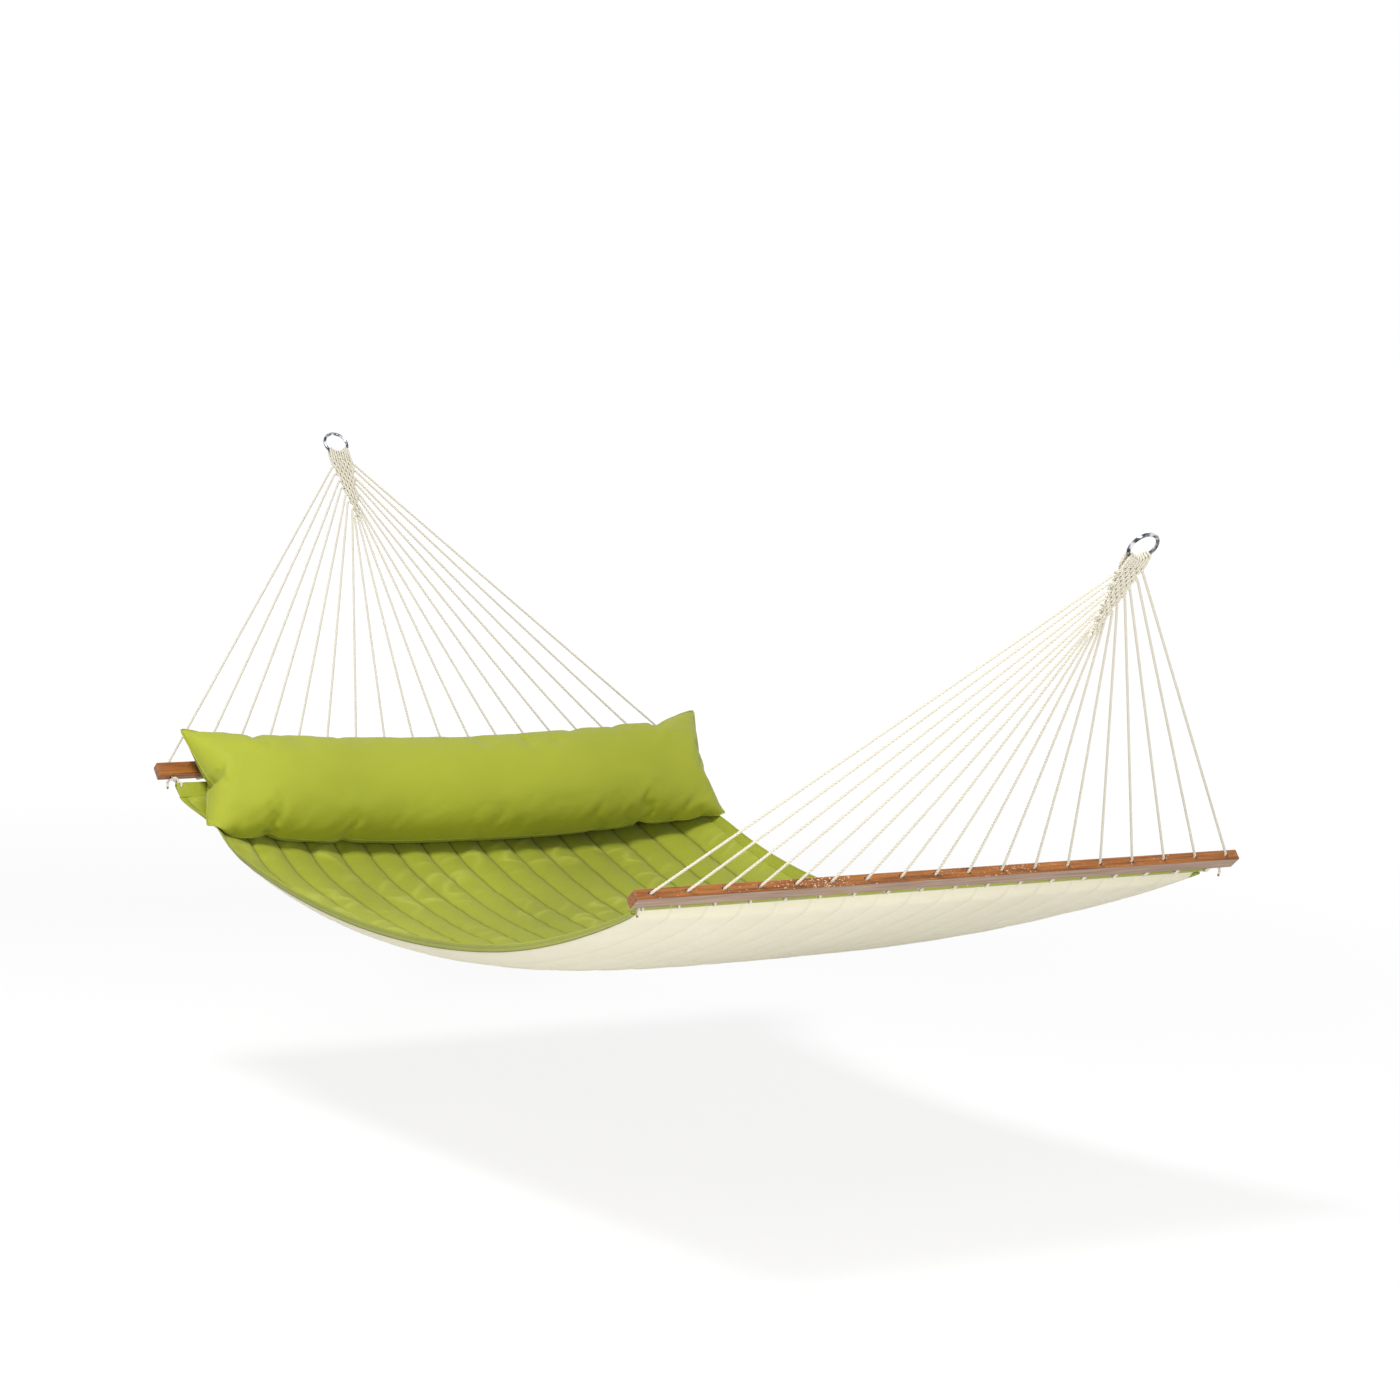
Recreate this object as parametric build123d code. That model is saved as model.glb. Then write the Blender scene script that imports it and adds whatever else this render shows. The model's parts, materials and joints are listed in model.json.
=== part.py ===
from build123d import *
import math
import os

# A quilted spreader bar hammock with its head pillow, hung between two hooks.
# Millimetres and degrees. The origin is the centre of the head ring, +X runs along the
# hammock to the foot ring, +Y runs across it and +Z is up.

# Hanging points and the slope of the cords from each ring down to its bar
ring_span = 3100.0
ring_wire = 7.0
ring_outer = 65.0
ring_sides = 36
bight_corners = 4
head_clew_length = 865.0
head_clew_slope = 52.9
foot_clew_length = 844.0
foot_clew_slope = 51.6

# Cords: each is doubled over the ring, so it makes two legs
cord_width = 5.0
cords_per_end = 9
cord_clearance = 0.3
column_pitch = 6.4
first_row = 55.0
row_pitch = 20.0

# Spreader bars
bar_length = 1405.0
bar_depth = 33.5
bar_height = 22.0
bar_edge = 1.5
hole_pitch = 79.0
hole_sides = 12
hole_clearance = 1.8
cord_bearing = 0.3
head_bar_tilt = 47.2
foot_bar_tilt = 39.2

# Knots and the loops that hold the cloth
hem_gap = 24.0
hem_gather = 0.98
head_hem_fall = 45.0
foot_hem_fall = 25.0
mouth_gap = 2.0
loop_lead = 3.0
knot_place = 6.0
tail_length = 18.0

# End hems: a sewn sleeve with a cord in it and a tongue that joins the quilt
hem_cord_width = 6.0
sleeve_wall = 2.2
sleeve_clearance = 0.3
tongue_length = 22.0
tongue_thickness = 2.0
slot_width = 9.0
slot_clearance = 0.3

# Quilted bed
bed_half_width = 668.0
waist = 58.0
edge_sag = 180.0
sag_bias = 0.9
mid_droop = 90.0
droop_power = 4
cover_thickness = 1.5
wadding_thickness = 7.0
backing_thickness = 1.5
layer_gap = 0.4
side_hem_width = 16.0
bed_spans = 8
bed_strips = 6

# Pillow
pillow_length = 1320.0
pillow_shift = 20.0
pillow_skew = -3.2
pillow_chord = 262.0
pillow_lean = 54.0
pillow_front = 120.0
pillow_back = 75.0
pillow_droop = 55.0
pillow_seam = 18.0
pillow_sides = 8
pillow_spans = 8
pillow_cloth = 1.5
pillow_seat_gap = 0.4
pillow_ahead = 44.2
pillow_above = 83.9
tie_room = 2.2
tie_width = 20.0
tie_thickness = 1.5

# Values that follow from the dimensions above
hole_count = 2 * cords_per_end
hole_width = cord_width + 2 * hole_clearance
ring_middle = (ring_outer - ring_wire) / 2
strand_offset = ring_wire / 2 + cord_width / 2 + cord_clearance
bight_angle = math.degrees((cord_width + cord_clearance) / (ring_middle - strand_offset))
sleeve_inner = hem_cord_width / 2 + sleeve_clearance
sleeve_outer = sleeve_inner + sleeve_wall
loop_offset = sleeve_outer + cord_width / 2 + cord_clearance
ACROSS = Vector(0, 1, 0)


class End:
    """The lines that one end of the hammock is built on, in the plane of X and Z."""

    def __init__(self, ring, away, clew_length, clew_slope, bar_tilt, hem_fall):
        self.ring = ring
        self.down = direction(away, -clew_slope)
        self.front = self.down.cross(ACROSS) * away
        self.entry = ring + self.down * clew_length
        self.clew_length = clew_length
        self.bore = direction(-away, bar_tilt)
        self.leave = self.entry - self.bore * bar_depth
        self.fall = direction(away, -hem_fall)
        self.rise = self.fall.cross(ACROSS) * away
        self.hem = self.leave + self.fall * hem_gap
        self.quilt_edge = self.hem + self.fall * (sleeve_outer + tongue_length)

    def in_clew(self, across, down, front):
        """A point given by its place across the cords, below the ring and in front."""
        return self.ring + ACROSS * across + self.down * down + self.front * front

    def in_hem(self, hole_across, along, rise):
        """A point between bar and cloth. The cloth is gathered a little narrower."""
        share = min(max(along / hem_gap, 0), 1)
        across = hole_across * (1 - (1 - hem_gather) * share)
        return self.leave + ACROSS * across + self.fall * along + self.rise * rise


def direction(away, slope):
    angle = math.radians(slope)
    return Vector(away * math.cos(angle), 0, math.sin(angle))


head = End(Vector(0, 0, 0), 1, head_clew_length, head_clew_slope, head_bar_tilt, head_hem_fall)
foot = End(
    Vector(ring_span, 0, 0), -1, foot_clew_length, foot_clew_slope, foot_bar_tilt, foot_hem_fall
)


def hole_places():
    return [(k - (hole_count - 1) / 2) * hole_pitch for k in range(hole_count)]


def make_ring(end):
    """A welded ring of wire, standing in the plane of the cords that pull on it."""
    frame = Plane(origin=end.ring, x_dir=ACROSS, z_dir=end.front)
    path = frame * RegularPolygon(ring_middle, ring_sides).wire()
    wire = Plane(origin=path @ 0.5, z_dir=path % 0.5) * RegularPolygon(ring_wire / 2, 8)
    return sweep(wire, path=path, transition=Transition.RIGHT)


def make_bar(end):
    """A wooden bar with eased edges and one drilled hole for each leg."""
    frame = Plane(origin=end.entry, x_dir=ACROSS, z_dir=end.bore)
    bar = Pos(0, 0, -bar_depth / 2) * Box(bar_length, bar_height, bar_depth)
    bar = chamfer(bar.edges(), bar_edge)
    drill = extrude(RegularPolygon(hole_width / 2, hole_sides, major_radius=False), -bar_depth)
    holes = [Pos(across, 0, 0) * drill for across in hole_places()]
    return frame * (bar - holes)


def half_turn(radius, corners):
    """Corners of a half turn about a round thing, from its near side to its far side."""
    step = 180 / corners
    reach = radius / math.cos(math.radians(step / 2))
    turns = [math.radians(step * (k + 0.5)) for k in range(corners)]
    return [(reach * math.cos(turn), reach * math.sin(turn)) for turn in turns]


def bight_points(end, column):
    """The fold of one cord over the ring, in its own radial plane."""
    angle = math.radians(column * bight_angle)
    points = []
    start, finish = (strand_offset, -1), (-strand_offset, -1)
    for front, inward in [start, *half_turn(strand_offset, bight_corners), finish]:
        reach = ring_middle - inward
        points.append(end.in_clew(reach * math.sin(angle), reach * math.cos(angle), front))
    return points


def leg_points(end, column, layer, row, side):
    """One leg: down its column, across between the layers, to its hole, round the hem.

    Layer is 1 for the front strands and -1 for the back ones. Side is 1 for a leg that
    crosses to +Y. The two legs of a row cross half a row apart. In its hole each leg bears
    on the side towards the ring.
    """
    level = first_row + row * row_pitch + (0 if side > 0 else row_pitch / 2)
    place = column * column_pitch
    outer_column = cords_per_end // 2 - row // 2
    leaving = side * (outer_column + 1) * column_pitch
    hole = side * ((hole_count - 1) / 2 - row) * hole_pitch
    in_bore = ACROSS * (hole - side * (hole_clearance - cord_bearing))
    points = [
        end.in_clew(place, level - strand_offset, layer * strand_offset),
        end.in_clew(place, level, 0),
        end.in_clew(leaving, level, 0),
        end.entry + in_bore + end.bore * mouth_gap,
        end.leave + in_bore - end.bore * mouth_gap,
    ]
    turn = [(loop_offset, -loop_lead), *half_turn(loop_offset, 2), (-loop_offset, -loop_lead)]
    for rise, past in turn:
        points.append(end.in_hem(hole, hem_gap + past, rise))
    return points + hitch_points(end, hole)


def hitch_points(end, hole):
    """The knot below the bar: the end goes once round its own leg and hangs as a tail."""
    standing = loop_offset * (knot_place - mouth_gap) / (hem_gap - loop_lead - mouth_gap)
    wrap = cord_width + cord_clearance
    low, high = standing - wrap, standing + wrap
    turns = [(0, low), (wrap, low), (wrap, high), (-wrap, high), (-wrap, low - tail_length)]
    return [end.in_hem(hole, knot_place, rise) + ACROSS * across for across, rise in turns]


def weave_order():
    """For each column, the row and layer at which its two strands leave, and their side."""
    half = cords_per_end // 2
    order = {}
    for column in range(-half, half + 1):
        side = 1 if column <= 0 else -1
        row = 2 * (half - abs(column))
        if column:
            order[column] = [(1, row, side), (-1, row + 1, side)]
        else:
            order[column] = [(1, row, 1), (-1, row, -1)]
    return order


def make_cord(end, column, strands):
    """One doubled cord with both its legs."""
    front, back = [leg_points(end, column, *strand) for strand in strands]
    points = front[::-1] + bight_points(end, column) + back
    path = Polyline(*points)
    start = Plane(origin=path @ 0, z_dir=path % 0)
    section = start * RegularPolygon(cord_width / 2, 6)
    return sweep(section, path=path, transition=Transition.RIGHT)


def make_hem_sleeve(end):
    """The folded end of the cloth: a sleeve, a tongue and a slot for each cord loop."""
    frame = Plane(origin=end.hem, x_dir=end.fall, z_dir=ACROSS)
    width = 2 * bed_half_width
    profile = RegularPolygon(sleeve_outer, 8, major_radius=False, rotation=22.5)
    reach = sleeve_outer + tongue_length
    profile += Pos(reach / 2, 0) * Rectangle(reach, tongue_thickness)
    profile -= RegularPolygon(sleeve_inner, 8, major_radius=False, rotation=22.5)
    sleeve = extrude(profile, width / 2, both=True)
    slot_length = cord_width + 2 * slot_clearance
    slots = [
        Pos(loop_offset, 0, across * hem_gather)
        * Box(slot_length, 3 * tongue_thickness, slot_width)
        for across in hole_places()
    ]
    return frame * (sleeve - slots)


def make_hem_cord(end):
    frame = Plane(origin=end.hem, x_dir=end.fall, z_dir=ACROSS)
    return frame * extrude(RegularPolygon(hem_cord_width / 2, 8), bed_half_width, both=True)


def bed_station(share):
    """Place along X, half width, height of the edge and droop of the middle."""
    start, end = head.quilt_edge, foot.quilt_edge
    x = start.X + (end.X - start.X) * share
    fullness = 4 * share * (1 - share)
    headward = share**sag_bias
    sag = edge_sag * 4 * headward * (1 - headward)
    edge = start.Z + (end.Z - start.Z) * share - sag
    droop = mid_droop * math.sqrt(max(math.sin(math.pi * math.sqrt(share)), 0))
    return x, bed_half_width - waist * fullness, edge, droop


def skin(rings):
    """A closed solid of flat facets over rings of corners, with a cap on each end ring.

    Each four-sided patch is split along its shorter diagonal, so that layers which lie on
    each other split alike and stay parallel.
    """
    outlines = [rings[0], rings[-1]]
    for near, far in zip(rings, rings[1:]):
        for k in range(len(near)):
            a, b, c, d = near[k - 1], near[k], far[k], far[k - 1]
            if (c - a).length < (d - b).length:
                outlines += [[a, b, c], [a, c, d]]
            else:
                outlines += [[a, b, d], [b, c, d]]
    return Solid(Shell([Face(Wire.make_polygon(corners)) for corners in outlines]))


def bed_layer(top, bottom, places):
    """A layer of the bed between two depths below its top."""
    rings = []
    for k in range(bed_spans + 1):
        share = (1 - math.cos(math.pi * k / bed_spans)) / 2
        x, half, edge, droop = bed_station(share)
        heights = [(y, edge - droop * (1 - abs(y / half) ** droop_power)) for y in places(half)]
        upper = [Vector(x, y, z - top) for y, z in heights]
        lower = [Vector(x, y, z - bottom) for y, z in heights[::-1]]
        rings.append(upper + lower)
    return skin(rings)


def quilt_places(half):
    """Where the strips of the quilt meet, between the two side hems."""
    reach = half - side_hem_width
    return [reach * (2 * j / bed_strips - 1) for j in range(bed_strips + 1)]


def side_hem_places(half, side):
    inner = half - side_hem_width + layer_gap
    return sorted([side * inner, side * half])


def make_side_hem(side):
    """Cover and backing folded together and stitched along one side."""
    thickness = cover_thickness + wadding_thickness + backing_thickness + 2 * layer_gap
    return bed_layer(0, thickness, lambda half: side_hem_places(half, side))


def pillow_ring(share, inset):
    """Corners of the bolster's section, deeper in front than behind, hung by its back seam."""
    pinch = math.sqrt(1 - abs(share) ** 6)
    half_chord = pillow_chord / 2 - inset
    along = Vector(1, 0, 0).rotate(Axis.Y, pillow_lean)
    out = Vector(0, 0, 1).rotate(Axis.Y, pillow_lean)
    sag = pillow_droop * (1 - share**2)
    middle = along * (pillow_chord / 2) + Vector(0, share * (pillow_length / 2 - inset), -sag)
    corners = []
    for k in range(pillow_sides):
        turn = math.radians(360 / pillow_sides * k)
        depth = pillow_front if math.sin(turn) > 0 else pillow_back
        depth = pillow_seam / 2 + (depth - pillow_seam / 2) * pinch - inset
        corners.append(
            middle + along * (half_chord * math.cos(turn)) + out * (depth * math.sin(turn))
        )
    return corners


def pillow_body(inset):
    """The bolster, pinched to a seam at both ends."""
    half_count = pillow_spans // 2
    shares = [math.sin(math.pi / 2 * k / half_count) for k in range(-half_count, half_count + 1)]
    seam = head.entry + Vector(pillow_ahead, pillow_shift, pillow_above)
    return Location(seam, (0, 0, pillow_skew)) * skin([pillow_ring(share, inset) for share in shares])


def bar_corner(end, along, side):
    """A corner line of a bar: along 0 is the face the cords enter, 1 the one they leave."""
    across_bar = end.bore.cross(ACROSS) * (1 if end.bore.X < 0 else -1)
    return end.entry - end.bore * (bar_depth * along) - across_bar * (side * bar_height / 2)


def head_envelope(clearance):
    """All that lies behind the pillow: the cords, the bar, the knots and the hem."""
    reach = 500
    cords = cord_width / 2 + cord_clearance
    top = head.entry - head.down * reach + head.front * cords
    loops = head.hem + head.rise * (loop_offset + cords)
    past = head.fall * (loop_offset + cords)
    corners = [
        top,
        bar_corner(head, 0, 1) + head.front * tie_room,
        bar_corner(head, 1, 1) + head.front * tie_room,
        loops,
        loops + past,
        head.quilt_edge + head.rise * tongue_thickness,
        head.quilt_edge - Vector(0, 0, reach),
        head.quilt_edge - Vector(reach, 0, reach),
        top - Vector(reach, 0, 0),
    ]
    outline = [corner + head.front * clearance for corner in corners]
    frame = Plane(origin=(0, 0, 0), x_dir=(1, 0, 0), z_dir=(0, -1, 0))
    profile = Polygon(*[(corner.X, corner.Z) for corner in outline], align=None)
    return frame * extrude(profile, bar_length / 2, both=True)


def bed_envelope(clearance):
    """All that lies under the pillow, from a clearance above the quilt downwards."""
    depth = 400
    beyond = 4 * side_hem_width
    return bed_layer(
        -clearance, depth, lambda half: [-half - beyond, *quilt_places(half), half + beyond]
    )


def pillow_solid(inset):
    seat = pillow_seat_gap + inset
    return pillow_body(inset) - bed_envelope(seat) - head_envelope(seat)


def make_pillow():
    outer = pillow_solid(0)
    inner = pillow_solid(pillow_cloth)
    return outer - inner, pillow_solid(pillow_cloth + layer_gap)


def make_tie(across):
    """A ribbon sewn to the pillow's back and tied round the head bar between two holes."""
    frame = Plane(origin=head.entry + ACROSS * across, x_dir=head.bore, z_dir=ACROSS)
    room = 2 * cord_clearance
    inner = Pos(-bar_depth / 2, 0) * Rectangle(bar_depth + room, bar_height + room)
    outer = offset(inner, tie_thickness, kind=Kind.INTERSECTION)
    band = extrude(outer - inner, tie_width / 2, both=True)
    return frame * band


def save(name, shape):
    shape.label = name
    export_step(shape, f"parts/{name}.step")


def main():
    os.makedirs("parts", exist_ok=True)
    for name, end in (("head", head), ("foot", foot)):
        save(f"{name}_ring", make_ring(end))
        save(f"{name}_bar", make_bar(end))
        save(f"{name}_hem_sleeve", make_hem_sleeve(end))
        save(f"{name}_hem_cord", make_hem_cord(end))
        for column, strands in weave_order().items():
            number = column + cords_per_end // 2 + 1
            save(f"{name}_cord_{number}", make_cord(end, column, strands))
    cover = cover_thickness
    wadding = cover + layer_gap
    backing = wadding + wadding_thickness + layer_gap
    save("quilt_cover", bed_layer(0, cover, quilt_places))
    save("quilt_wadding", bed_layer(wadding, wadding + wadding_thickness, quilt_places))
    save("quilt_backing", bed_layer(backing, backing + backing_thickness, quilt_places))
    save("left_side_hem", make_side_hem(-1))
    save("right_side_hem", make_side_hem(1))
    pillow_cover, pillow_filling = make_pillow()
    save("pillow_cover", pillow_cover)
    save("pillow_filling", pillow_filling)
    tie_place = hole_pitch * round(bar_length / 3 / hole_pitch)
    save("pillow_tie_left", make_tie(-tie_place))
    save("pillow_tie_right", make_tie(tie_place))


main()
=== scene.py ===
import json
import math

import bpy
import numpy as np
from mathutils import Matrix, Vector, noise


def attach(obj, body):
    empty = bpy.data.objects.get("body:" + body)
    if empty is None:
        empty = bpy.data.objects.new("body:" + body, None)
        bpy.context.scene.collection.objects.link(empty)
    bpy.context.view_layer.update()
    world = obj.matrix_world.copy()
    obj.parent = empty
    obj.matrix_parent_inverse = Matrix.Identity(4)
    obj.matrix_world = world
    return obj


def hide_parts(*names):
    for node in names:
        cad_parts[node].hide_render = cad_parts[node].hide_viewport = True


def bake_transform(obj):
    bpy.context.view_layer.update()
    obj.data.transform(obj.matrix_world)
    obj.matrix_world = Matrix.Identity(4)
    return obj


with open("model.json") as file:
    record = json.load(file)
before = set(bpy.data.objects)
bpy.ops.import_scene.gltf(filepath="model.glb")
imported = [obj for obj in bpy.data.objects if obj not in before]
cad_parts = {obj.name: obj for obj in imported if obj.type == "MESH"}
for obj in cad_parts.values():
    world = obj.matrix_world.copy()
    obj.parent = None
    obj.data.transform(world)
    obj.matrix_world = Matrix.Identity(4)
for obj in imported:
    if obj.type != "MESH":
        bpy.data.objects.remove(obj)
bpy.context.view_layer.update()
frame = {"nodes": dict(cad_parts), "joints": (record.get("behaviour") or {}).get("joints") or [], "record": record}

# Cords, in metres
CORD_WIDTH = 0.005
CORDS_PER_END = 9
LAY_LENGTH = 0.024
CORD_STEP = 0.003
CORD_BEND = 0.006
CORD_FULLNESS = 1.16
END_PINCH = 0.8
STRAND_SIDE = 0.87
STRAND_VALLEY = 0.72
COLUMN_PITCH = 0.0062
FIRST_ROW = 0.055
ROW_PITCH = 0.020
TURN_OUT = 0.006
LEAVE_MARGIN = 0.6
HOLE_PITCH = 0.079

# How closely the strands lie, as shares of the cord's width
FOLD_SPACING = 1.04
LAYER_DEPTH = 0.88
SIDESTEP = 0.42
LAST_DEPTH = 0.6
LOOP_HUG = 0.55
KNOT_REACH = 0.98

# Rings, with the weld's place and spread as angles
RING_WIRE = 0.007
RING_OUTER = 0.065
WELD_ANGLE = 2.75
WELD_SPREAD = 0.07
WELD_SWELL = 0.13

# Bars and the gap between each bar and its hem, with angles in degrees
BAR_DEPTH = 0.0335
BAR_HEIGHT = 0.022
BAR_LENGTH = 1.405
BAR_TILT = {"head": 47.2, "foot": 39.2}
HEM_FALL = {"head": 45.0, "foot": 25.0}
HEM_GAP = 0.024
HEM_GATHER = 0.98
HOLE_BEARING = 0.0015
BORE_END = 0.002
LOOP_CLOSING = 0.8
KNOT_PLACE = 0.0045
KNOT_LENGTH = 0.009
KNOT_TURNS = 2.15
KNOT_STEPS = 18
TAIL_LENGTH = 0.020
TAIL_TIP = 0.005
SLEEVE_RADIUS = 0.0055
HEM_CORD_WIDTH = 0.006
HEM_PINCH = 0.007
TONGUE = 0.022
TONGUE_OVERLAP = 1.3

# Quilted bed, with places along it as shares of its length
BED_HALF_WIDTH = 0.668
WAIST = 0.058
EDGE_SAG = 0.180
SAG_BIAS = 0.9
MID_DROOP = 0.070
DROOP_POWER = 4
LIP_DROOP = 0.022
LIP_POWER = 36
CLOTH_SLACK = 0.004
HEAD_TUCK = 0.026
TUCK_PLACE = 0.045
HEAD_RUN = 0.038
END_TAPER = 0.012
BED_THICKNESS = 0.0108
CHANNELS = 17
CHANNEL_STEPS = 12
CHANNEL_ROUNDNESS = 0.62
QUILT_ROWS = 401
QUILT_COLUMNS = CHANNELS * CHANNEL_STEPS + 1
TOP_SEAM_DEPTH = 0.0065
TOP_PUFF = 0.0098
TOP_PUCKER = 1.0
UNDER_RISE = 0.0024
UNDER_PUFF = 0.0030
UNDER_PUCKER = 0.45
SEAM_PULL = 0.010
RIPPLE = 0.0012
CREASE_HEIGHT = 0.0042
CREASE_SHARPNESS = 7.0
UNEVEN_FILL = 0.3

# Sewn edges and stitches, with the sewn lines as shares of half the folded edge
SIDE_HEM = 0.016
SIDE_HEM_DEPTH = 0.0048
SIDE_HEM_THICK = 0.0034
SIDE_ROWS = 381
SEWN_LINES = (0.62, -0.45)
SEWN_SPREAD = 0.14
SEWN_PRESS = 0.3
STITCH_PITCH = 0.006
STITCH_WIDTH = 0.0009
STITCH_SHARE = 0.74
SEAM_STITCH_LIFT = 0.0004
SIDE_STITCH_LIFT = 0.0029
SEAM_END_ROWS = 6

# Cloth looks
THREADS_PER_METRE = 900
YARN_STRETCH = 9.0
WEAVE_RELIEF = 0.15
# Strength of the painted highlight on the crease ridges
CREASE_PAINTED_HIGHLIGHT = 0.32
# Spread of the painted shade along each seam, as a share of a channel
SEAM_SHADE = 0.035

# Pillow, with angles in degrees
PILLOW_LENGTH = 1.32
PILLOW_SHIFT = -0.014
PILLOW_SKEW = -3.2
PILLOW_CHORD = 0.262
PILLOW_DEPTH = 0.195
PILLOW_FORWARD = 0.022
PILLOW_LEAN = 54.0
PILLOW_DROOP = 0.038
PILLOW_LOWER = 0.017
BED_ROOM = 0.004
CORD_ROOM = 0.014
PANEL_WIDTH = 0.33
PANEL_LENGTH = 1.40
PANEL_CROWN = 0.012
END_GATHER = 0.18
WAIST_REACH = 0.3
SIM_STEPS = 40
PIPING = 0.0032
EDGE_DENT = 0.012
BROAD_DENT = 0.0050
FOLD_DENT = 0.0045
# Place along in metres, place across as a share, depth and radius of each dimple
DIMPLES = (
    (0.06, -0.50, 0.012, 0.022), (0.17, -0.45, 0.013, 0.018), (0.25, -0.40, 0.008, 0.016),
    (0.10, 0.82, 0.010, 0.026), (0.17, 0.90, 0.010, 0.020), (-0.42, -0.50, 0.008, 0.024),
)

# Ribbons that hold the pillow, with the lean in radians and the drop of each loose end
TIE_WIDTH = 0.020
TIE_THICKNESS = 0.0012
TIE_ROOM = 0.0013
TIE_BEND = 0.004
TIE_KNOT = 0.007
TIE_KNOT_OUT = 0.003
TIE_BELLY = 0.006
TIE_ENDS = ((0.5, 0.052), (-0.35, 0.044))

# Camera, fitted to the bars, the foot bar's holes, both rings and the bed, with angles in radians
CAMERA_PLACE = (8.5203, -4.39005, 0.4810)
CAMERA_YAW = 2.571559
CAMERA_FALL = 0.1120496
CAMERA_ROLL = 0.0348628
CAMERA_LENS = 101.316

# Floor and room
FLOOR_LEVEL = -1.45
FLOOR_REACH = 60.0
FLOOR_NEAR = 2.4
FLOOR_SPREAD = 3.0
FLOOR_PLAIN = 0.75
FLOOR_GLOW = 1.04
ROOM_LIGHT = 0.46
BLACK = (0, 0, 0, 1)
WHITE = (1, 1, 1, 1)

# Points on a rounded corner, the least step of a path, a way that no cord starts along,
# and how nearly a face has to look along a direction
CORNER_STEPS = 6
SAME_PLACE = 1e-7
SLANTED = (0.3, 0.5, 0.8)
FACING_LIMIT = 0.75

ACROSS = np.array([0.0, 1.0, 0.0])


def srgb(red, green, blue):
    """A colour from its 8-bit screen values, in the linear values that shaders use."""
    return tuple((c / 255 / 12.92) if c < 10.3 else ((c / 255 + 0.055) / 1.055) ** 2.4
                 for c in (red, green, blue)) + (1.0,)


def direction(away, slope):
    """A unit vector along X, or back along it, that rises at a slope in degrees."""
    angle = math.radians(slope)
    return np.array([away * math.cos(angle), 0.0, math.sin(angle)])


class End:
    """The lines that one end of the hammock is built on, read from the frame."""

    def __init__(self, name, away):
        mounts = {m["name"]: m for m in frame["record"]["mounts"]}
        joints = {j["name"]: j for j in frame["joints"]}
        self.name = name
        self.ring = np.array(mounts[name + "_ring_eye"]["pos_m"])
        self.entry = np.array(joints[name + "_clew_fold"]["pos_m"])
        pull = self.entry - self.ring
        self.down = pull / np.linalg.norm(pull)
        self.front = np.cross(self.down, ACROSS) * away
        self.bore = direction(-away, BAR_TILT[name])
        self.leave = self.entry - self.bore * BAR_DEPTH
        self.fall = direction(away, -HEM_FALL[name])
        self.rise = np.cross(self.fall, ACROSS) * away
        self.hem = self.leave + self.fall * HEM_GAP
        self.quilt_edge = self.hem + self.fall * (SLEEVE_RADIUS + TONGUE)

    def in_clew(self, across, down, front):
        """A place given across the clew, down it from the ring and to its front."""
        return self.ring + ACROSS * across + self.down * down + self.front * front

    def in_hem(self, hole, along, rise):
        """A place on the way from a hole to the hem, which is gathered a little."""
        share = min(max(along / HEM_GAP, 0), 1)
        across = hole * (1 - (1 - HEM_GATHER) * share)
        return self.leave + ACROSS * across + self.fall * along + self.rise * rise


head = End("head", 1)
foot = End("foot", -1)


def new_material(name):
    material = bpy.data.materials.new(name)
    material.use_nodes = True
    tree = material.node_tree
    tree.nodes.clear()
    shader = tree.nodes.new("ShaderNodeBsdfPrincipled")
    output = tree.nodes.new("ShaderNodeOutputMaterial")
    tree.links.new(shader.outputs[0], output.inputs[0])
    return material, tree, shader


def noise_node(tree, vector, scale, detail, roughness=0.55):
    node = tree.nodes.new("ShaderNodeTexNoise")
    node.inputs["Scale"].default_value = scale
    node.inputs["Detail"].default_value = detail
    node.inputs["Roughness"].default_value = roughness
    tree.links.new(vector, node.inputs["Vector"])
    return node.outputs["Fac"]


def mapped(tree, scale=(1, 1, 1)):
    """Object coordinates, scaled along each axis, so that a grain runs the right way."""
    place = tree.nodes.new("ShaderNodeTexCoord")
    mapping = tree.nodes.new("ShaderNodeMapping")
    mapping.inputs["Scale"].default_value = scale
    tree.links.new(place.outputs["Object"], mapping.inputs["Vector"])
    return mapping.outputs["Vector"]


def ramp(tree, factor, stops):
    node = tree.nodes.new("ShaderNodeValToRGB")
    elements = node.color_ramp.elements
    while len(elements) < len(stops):
        elements.new(0.5)
    for element, (place, colour) in zip(elements, stops):
        element.position = place
        element.color = colour
    tree.links.new(factor, node.inputs["Fac"])
    return node.outputs["Color"]


def feed(tree, socket, value):
    """Links a socket to another node's output, or sets it to a plain value."""
    if isinstance(value, bpy.types.NodeSocket):
        tree.links.new(value, socket)
    else:
        socket.default_value = value


def mix(tree, factor, first, second):
    """Two colours, the second over the first by a factor."""
    node = tree.nodes.new("ShaderNodeMix")
    node.data_type = "RGBA"
    feed(tree, node.inputs[0], factor)
    feed(tree, node.inputs[6], first)
    feed(tree, node.inputs[7], second)
    return node.outputs[2]


def maths(tree, operation, first, second=0.0):
    node = tree.nodes.new("ShaderNodeMath")
    node.operation = operation
    feed(tree, node.inputs[0], first)
    feed(tree, node.inputs[1], second)
    return node.outputs[0]


def attribute(tree, name):
    """A value that the mesh carries at each of its points."""
    node = tree.nodes.new("ShaderNodeAttribute")
    node.attribute_name = name
    return node.outputs["Fac"]


def weighed(tree, first, second, share):
    """Two values added up, the first by this share and the second by the rest."""
    part = maths(tree, "MULTIPLY", first, share)
    return maths(tree, "ADD", part, maths(tree, "MULTIPLY", second, 1 - share))


def seen_directly(tree):
    """1 for rays from the camera or off a glossy surface, and 0 for all others."""
    path = tree.nodes.new("ShaderNodeLightPath")
    return maths(tree, "MAXIMUM", path.outputs["Is Camera Ray"], path.outputs["Is Glossy Ray"])


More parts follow.
